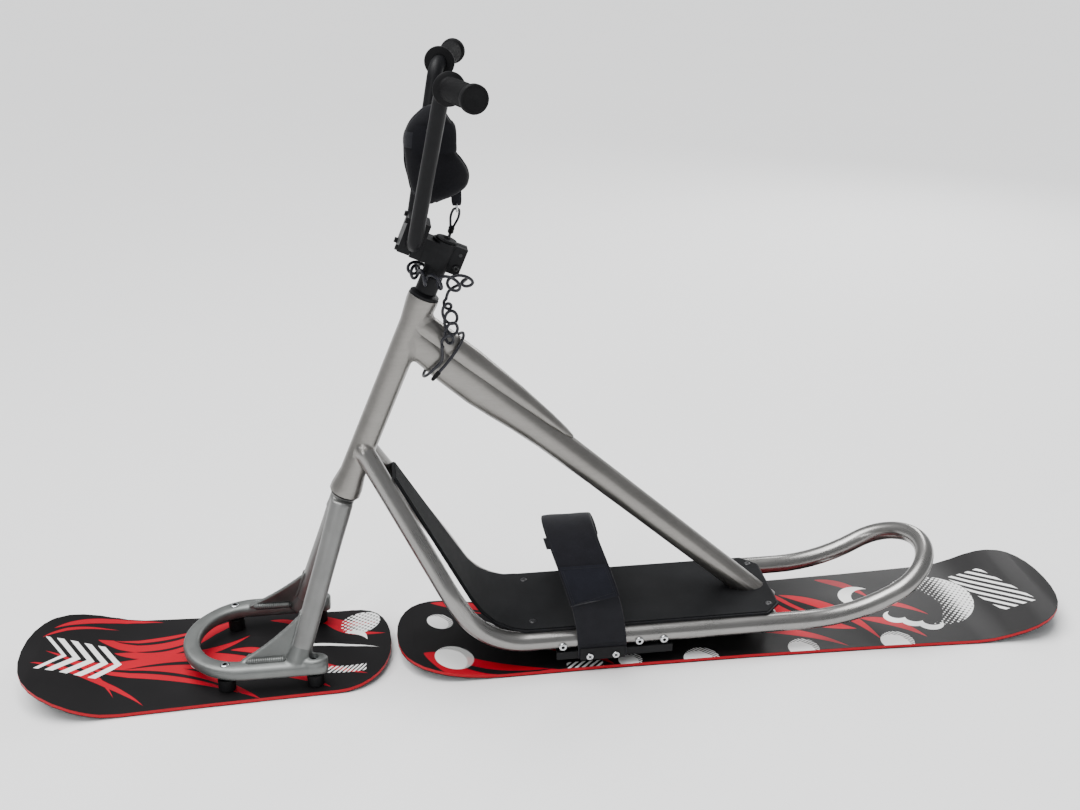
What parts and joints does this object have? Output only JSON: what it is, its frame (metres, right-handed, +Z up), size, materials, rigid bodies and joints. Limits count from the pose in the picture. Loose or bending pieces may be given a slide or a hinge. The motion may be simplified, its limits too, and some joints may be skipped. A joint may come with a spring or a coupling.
{
  "type": "snow scooter",
  "caption": "Stand-on snow scooter: two short boards, a welded tube frame with a low deck and foot strap, a steered front board and a raised handlebar.",
  "frame": {"origin": "centre of the bottom of the part's bounding box, on the snow", "axes": "+X towards the rear board, -X towards the steered front board, +Z up; the left side of the scooter is at -Y"},
  "size_m": [1.75, 0.4298, 0.9669],
  "materials": {
    "satin_aluminium": "clear-coated brushed aluminium tube",
    "cast_aluminium": "matte grey casting",
    "zinc_steel": "bright zinc-plated steel",
    "bearing_steel": "ground steel",
    "black_steel": "satin black powder coat",
    "black_aluminium": "black anodised",
    "deck_black": "black coated plate",
    "grip_sheet": "fine black grit sheet",
    "black_rubber": "moulded black rubber",
    "black_webbing": "padded black webbing",
    "black_cord": "black sheathed cord",
    "board_core": "laminated core with a glossy red, black and white top sheet",
    "board_base": "black running base with a steel edge"
  },
  "bodies": {
    "frame": {"head_tube": "satin_aluminium", "lower_bearing": "bearing_steel", "upper_bearing": "bearing_steel", "main_tube": "satin_aluminium", "left_side_tube": "satin_aluminium", "right_side_tube": "satin_aluminium", "left_rail_screws": "zinc_steel", "right_rail_screws": "zinc_steel", "tail_loop": "satin_aluminium", "rear_cross_tube": "satin_aluminium", "front_deck_bracket": "satin_aluminium", "deck_plate": "deck_black", "grip_sheet": "grip_sheet", "mount_channel": "black_aluminium", "left_rubber_strip": "black_rubber", "right_rubber_strip": "black_rubber", "left_rear_bolts": "zinc_steel", "right_rear_bolts": "zinc_steel", "left_strap": "black_webbing", "right_strap": "black_webbing", "strap_pad": "black_webbing", "left_strap_plate": "black_aluminium", "right_strap_plate": "black_aluminium", "rear_board": "board_core", "rear_board_base": "board_base", "leash_cord_lower": "black_cord"},
    "steering": {"steerer_tube": "bearing_steel", "crown_race": "black_aluminium", "headset_top_cover": "black_aluminium", "spacers": "black_aluminium", "fork_crown": "cast_aluminium", "left_fork_leg": "satin_aluminium", "right_fork_leg": "satin_aluminium", "horseshoe": "cast_aluminium", "rubber_mount_front_left": "black_rubber", "rubber_mount_front_right": "black_rubber", "rubber_mount_back_left": "black_rubber", "rubber_mount_back_right": "black_rubber", "mount_bolt_front_left": "zinc_steel", "mount_bolt_front_right": "zinc_steel", "mount_bolt_back_left": "zinc_steel", "mount_bolt_back_right": "zinc_steel", "front_board": "board_core", "front_board_base": "board_base", "stem_body": "black_aluminium", "stem_face_plate": "black_aluminium", "lower_pinch_bolt": "zinc_steel", "upper_pinch_bolt": "zinc_steel", "top_cap": "black_aluminium", "handlebar": "black_steel", "crossbar": "black_steel", "left_grip": "black_rubber", "right_grip": "black_rubber", "left_bar_plug": "black_rubber", "right_bar_plug": "black_rubber", "leash_cuff": "black_webbing", "leash_ring": "zinc_steel", "leash_loop": "black_cord", "leash_cord_upper": "black_cord"}
  },
  "joints": [
    {"name": "steering", "type": "hinge", "parent": "frame", "child": "steering", "pos_m": [-0.339, 0, 0.303], "axis": [0.3971, 0, 0.9178], "range_deg": [-45, 45]}
  ]
}
